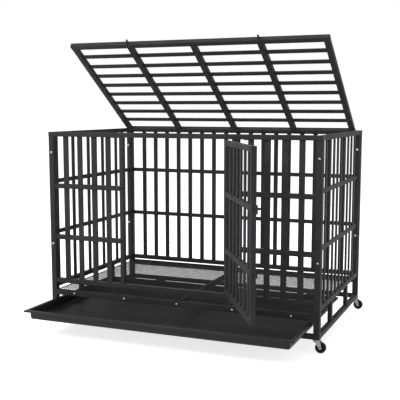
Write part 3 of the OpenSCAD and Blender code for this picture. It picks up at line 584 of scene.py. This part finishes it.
# From the tip in the tube to the cap's edge, as inset from the tube's outside and height over its end
PLUG = (
    (PLUG_IN + 0.0008, -0.012), (PLUG_IN, -0.010), (PLUG_IN, 0.0),
    (0.0002, 0.0), (0.0002, 0.0004), (0.0010, 0.0008),
)
CAP_SHARE = 0.55
CAP_H = 0.0011


def plug(bm, pose, half_u, half_v):
    """Plug along the pose's Z axis, with its rim on the tube's end at Z = 0."""
    sizes = [(half_u - inset, half_v - inset, z) for inset, z in PLUG]
    sizes.append((half_u * CAP_SHARE, half_v * CAP_SHARE, CAP_H))
    rings = []
    for size_u, size_v, z in sizes:
        plan = round_rect(size_u, size_v, PLUG_CORNER, steps=3)
        rings.append([pose @ Vector((u, v, z)) for u, v in plan])
    loft(bm, rings)


def end_plugs(bm, pose, box, axis, half_u, half_v):
    """Plugs in both ends of a tube that lies along an axis."""
    low, high = box
    for end, sign in ((low, -1), (high, 1)):
        place, direction = (low + high) / 2, Vector((0, 0, 0))
        place[axis], direction[axis] = end[axis], sign
        plug(bm, pose @ aimed(place, direction), half_u, half_v)


def plugs():
    bm = bmesh.new()
    for rail in ("front_top_rail", "back_top_rail"):
        end_plugs(bm, fixed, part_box(rail), X, RAIL / 2, RAIL / 2)
    piece("top_rail_plug_set", bm, "frame", "plug_plastic", "top_rail_plugs")
    bm = bmesh.new()
    for rail in ("lid_front_rail", "lid_back_rail"):
        low, high = closed_box(rail, lid_pose)
        half = (high - low) / 2
        end_plugs(bm, lid_pose, (low, high), X, half.z, half.y)
    piece("lid_rail_plug_set", bm, "lid", "plug_plastic")
    bm = bmesh.new()
    for stile in ("door_hinge_stile", "door_latch_stile"):
        end_plugs(bm, door_pose, closed_box(stile, door_pose), Z, RAIL / 2, RAIL / 2)
    piece("door_stile_plug_set", bm, "door", "plug_plastic")


# Weld beads

BEAD_R = 0.0019
BEAD_STEP = 0.0012
BEAD_DIP = 0.82
BEAD_TIP = 0.35
FEWEST_RIPPLES = 4
# Sides of a tube that are welded at its ends, each as an axis and a sign
FRONT_SIDES = ((Z, -1), (Z, 1), (Y, 1))
BACK_SIDES = ((Z, -1), (Z, 1), (Y, -1))


def bead(bm, pose, start, end):
    """Rippled bead from one point to another."""
    line = end - start
    count = max(FEWEST_RIPPLES, round(line.length / BEAD_STEP))
    along = aimed(start, line.normalized())
    rings = []
    for i in range(count + 1):
        swell = 1.0 if i % 2 else BEAD_DIP
        if i in (0, count):
            swell = BEAD_TIP
        rings.append(circle(pose @ along, BEAD_R * swell, line.length * i / count, count=8))
    loft(bm, rings)


def end_welds(bm, pose, box, axis, sides):
    """Beads on the named sides of a tube, at both of its ends."""
    low, high = box
    for end in box:
        for side, sign in sides:
            along = X + Y + Z - axis - side
            start, stop = Vector((0, 0, 0)), Vector((0, 0, 0))
            for point, edge in ((start, low[along] + TUBE_EDGE), (stop, high[along] - TUBE_EDGE)):
                point[axis] = end[axis]
                point[side] = (high if sign > 0 else low)[side]
                point[along] = edge
            bead(bm, pose, start, stop)


def row_welds(bm, pose, node, box):
    """Beads at both ends of a grille's cross rails."""
    low, high = box
    for row in rows(node, pose):
        low.z, high.z = row
        end_welds(bm, pose, (low, high), X, FRONT_SIDES)


def frame_welds():
    bm = bmesh.new()
    for name in ("sill", "floor", "base"):
        end_welds(bm, fixed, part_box(f"front_{name}_rail"), X, FRONT_SIDES)
    for name in ("bottom", "floor", "base"):
        end_welds(bm, fixed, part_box(f"back_{name}_rail"), X, BACK_SIDES)
    for name, inward in (("left", 1), ("right", -1)):
        for rail in ("bottom", "base"):
            end_welds(bm, fixed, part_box(f"{name}_{rail}_rail"), Y, ((Z, -1), (Z, 1), (X, inward)))
        end_welds(bm, fixed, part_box(f"{name}_top_rail"), Y, ((X, inward),))
        end_welds(bm, fixed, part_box(f"{name}_door_jamb"), Z, ((X, -1), (X, 1), (Y, 1)))
        row_welds(bm, fixed, f"front_{name}_grille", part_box(f"front_{name}_grille"))
    piece("frame_welds", bm, "frame", "coat")


def lid_welds():
    bm = bmesh.new()
    front_low, front_high = closed_box("lid_front_rail", lid_pose)
    tube = front_high.y - front_low.y
    low, high = closed_box("lid_end_rails", lid_pose)
    tubes = [(low.x, ((X, 1),)), (high.x - tube, ((X, -1),))]
    tubes += [(x - tube / 2, ((X, -1), (X, 1))) for x in centres("lid_dividers", X)]
    for x, sides in tubes:
        low.x, high.x = x, x + tube
        end_welds(bm, lid_pose, (low, high), Y, sides)
    piece("lid_welds", bm, "lid", "coat")


def door_welds():
    bm = bmesh.new()
    low, high = closed_box("door_rails", door_pose)
    for z, sides in ((low.z, ((Z, 1), (Y, 1))), (high.z - RAIL, ((Z, -1), (Y, 1)))):
        low.z, high.z = z, z + RAIL
        end_welds(bm, door_pose, (low, high), X, sides)
    row_welds(bm, door_pose, "door_grille", closed_box("door_grille", door_pose))
    piece("door_welds", bm, "door", "coat")


fasteners()
floor_panel()
moulded_tray()
casters()
plugs()
frame_welds()
lid_welds()
door_welds()


# Studio

FLOOR_HALF = 40.0
FLOOR_LEVEL = -0.0004
FLOOR_COLOUR = 0.86
FLOOR_LIFT = 0.76
SKY_LIGHT = 0.46
# Each lamp's name, place, target, size in metres and power in watts
LAMPS = (
    ("key", (-2.2, -3.4, 3.6), (0.0, -0.2, 0.5), 2.4, 175.0),
    ("fill", (3.6, -1.6, 2.4), (0.2, -0.1, 0.5), 2.4, 12.0),
    ("top", (0.3, 1.0, 4.2), (0.0, 0.0, 0.6), 3.0, 90.0),
)
# Camera fitted to the frame's corners in the photo; angles in degrees, lens and sensor in millimetres
CAMERA_PLACE = (1.31639, -3.31525, 0.95298)
CAMERA_DOWN = 7.230
CAMERA_TURN = 22.489
CAMERA_LENS = 70.73
CAMERA_SENSOR = 36.0
CAMERA_SHIFT = (0.0021, 0.0199)


def background_rays(tree):
    """1 for rays that show the background: seen directly, mirrored or through glass."""
    rays = add(tree, "ShaderNodeLightPath").outputs
    shown = math_node(tree, "MAXIMUM", rays["Is Camera Ray"], rays["Is Glossy Ray"])
    return math_node(tree, "MAXIMUM", shown, rays["Is Transmission Ray"])


def studio_floor():
    bm = bmesh.new()
    plan = ((-1, -1), (1, -1), (1, 1), (-1, 1))
    bm.faces.new([bm.verts.new((x * FLOOR_HALF, y * FLOOR_HALF, FLOOR_LEVEL)) for x, y in plan])
    mesh = bpy.data.meshes.new("studio_floor")
    bm.to_mesh(mesh)
    bm.free()
    mat = bpy.data.materials.new("studio_floor")
    mat.use_nodes = True
    tree = mat.node_tree
    tree.nodes.clear()
    lit = add(tree, "ShaderNodeBsdfDiffuse", {"Color": grey(FLOOR_COLOUR)}).outputs["BSDF"]
    lift = math_node(tree, "MULTIPLY", background_rays(tree), FLOOR_LIFT)
    glow = add(tree, "ShaderNodeEmission", {"Color": grey(1.0), "Strength": lift}).outputs["Emission"]
    both = add(tree, "ShaderNodeAddShader", {0: lit, 1: glow}).outputs["Shader"]
    add(tree, "ShaderNodeOutputMaterial", {"Surface": both})
    mesh.materials.append(mat)
    obj = bpy.data.objects.new("studio_floor", mesh)
    bpy.context.scene.collection.objects.link(obj)


def studio_world():
    world = bpy.data.worlds.new("studio_world")
    bpy.context.scene.world = world
    world.use_nodes = True
    tree = world.node_tree
    tree.nodes.clear()
    soft, white = (
        add(tree, "ShaderNodeBackground", {"Color": grey(1.0), "Strength": strength}).outputs["Background"]
        for strength in (SKY_LIGHT, 1.0)
    )
    both = add(tree, "ShaderNodeMixShader", {0: background_rays(tree), 1: soft, 2: white}).outputs["Shader"]
    add(tree, "ShaderNodeOutputWorld", {"Surface": both})


def softbox(name, place, target, size, power):
    data = bpy.data.lights.new(name, "AREA")
    data.shape = "SQUARE"
    data.size = size
    data.energy = power
    obj = bpy.data.objects.new(name, data)
    bpy.context.scene.collection.objects.link(obj)
    obj.location = place
    obj.rotation_euler = (Vector(target) - Vector(place)).to_track_quat("-Z", "Y").to_euler()


def photo_camera():
    data = bpy.data.cameras.new("photo_camera")
    data.sensor_width = CAMERA_SENSOR
    data.lens = CAMERA_LENS
    data.shift_x, data.shift_y = CAMERA_SHIFT
    obj = bpy.data.objects.new("photo_camera", data)
    bpy.context.scene.collection.objects.link(obj)
    obj.location = CAMERA_PLACE
    obj.rotation_euler = (math.radians(90 - CAMERA_DOWN), 0.0, math.radians(CAMERA_TURN))
    bpy.context.scene.camera = obj


studio_floor()
studio_world()
for lamp in LAMPS:
    softbox(*lamp)
photo_camera()
bpy.context.scene.view_settings.view_transform = "Standard"
